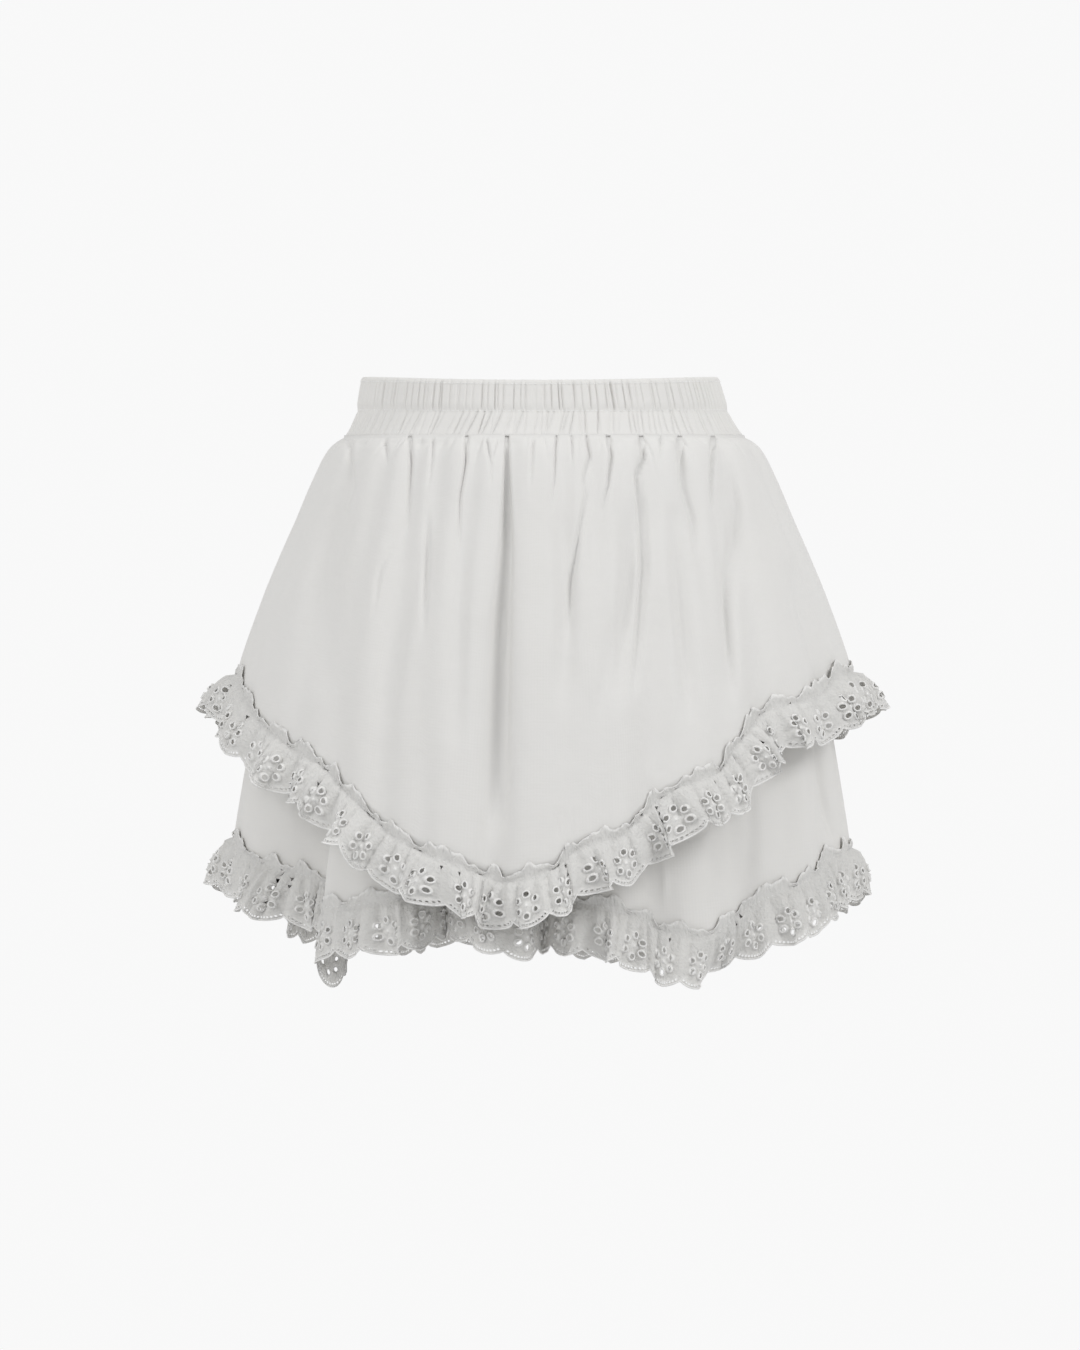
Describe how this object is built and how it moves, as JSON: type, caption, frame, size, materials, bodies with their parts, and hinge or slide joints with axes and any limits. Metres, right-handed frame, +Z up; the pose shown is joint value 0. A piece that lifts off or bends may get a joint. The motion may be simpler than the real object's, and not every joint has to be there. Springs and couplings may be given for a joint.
{
  "type": "tiered ruffle skirt",
  "caption": "Short two-tier skirt with a gathered elastic waistband, pointed handkerchief hems and ruffled eyelet trim, held in its filled-out hollow shape.",
  "frame": {"origin": "middle of the waist opening, level with the top of the waistband at the sides", "axes": "+Z up, -Y the front of the skirt, +X to the right of someone who looks at the front"},
  "size_m": [0.4716, 0.373, 0.4216],
  "materials": {
    "band_cloth": "soft white plain weave, gathered on elastic",
    "tier_cloth": "soft matt off-white plain weave",
    "eyelet_trim": "off-white cotton eyelet edging with satin stitched rims"
  },
  "bodies": {
    "root": {"waistband": "band_cloth", "upper_tier_front": "tier_cloth", "upper_trim_front": "eyelet_trim", "upper_tier_back": "tier_cloth", "upper_trim_back": "eyelet_trim", "lower_tier_front": "tier_cloth", "lower_trim_front": "eyelet_trim", "lower_tier_back": "tier_cloth", "lower_trim_back": "eyelet_trim"}
  },
  "joints": []
}
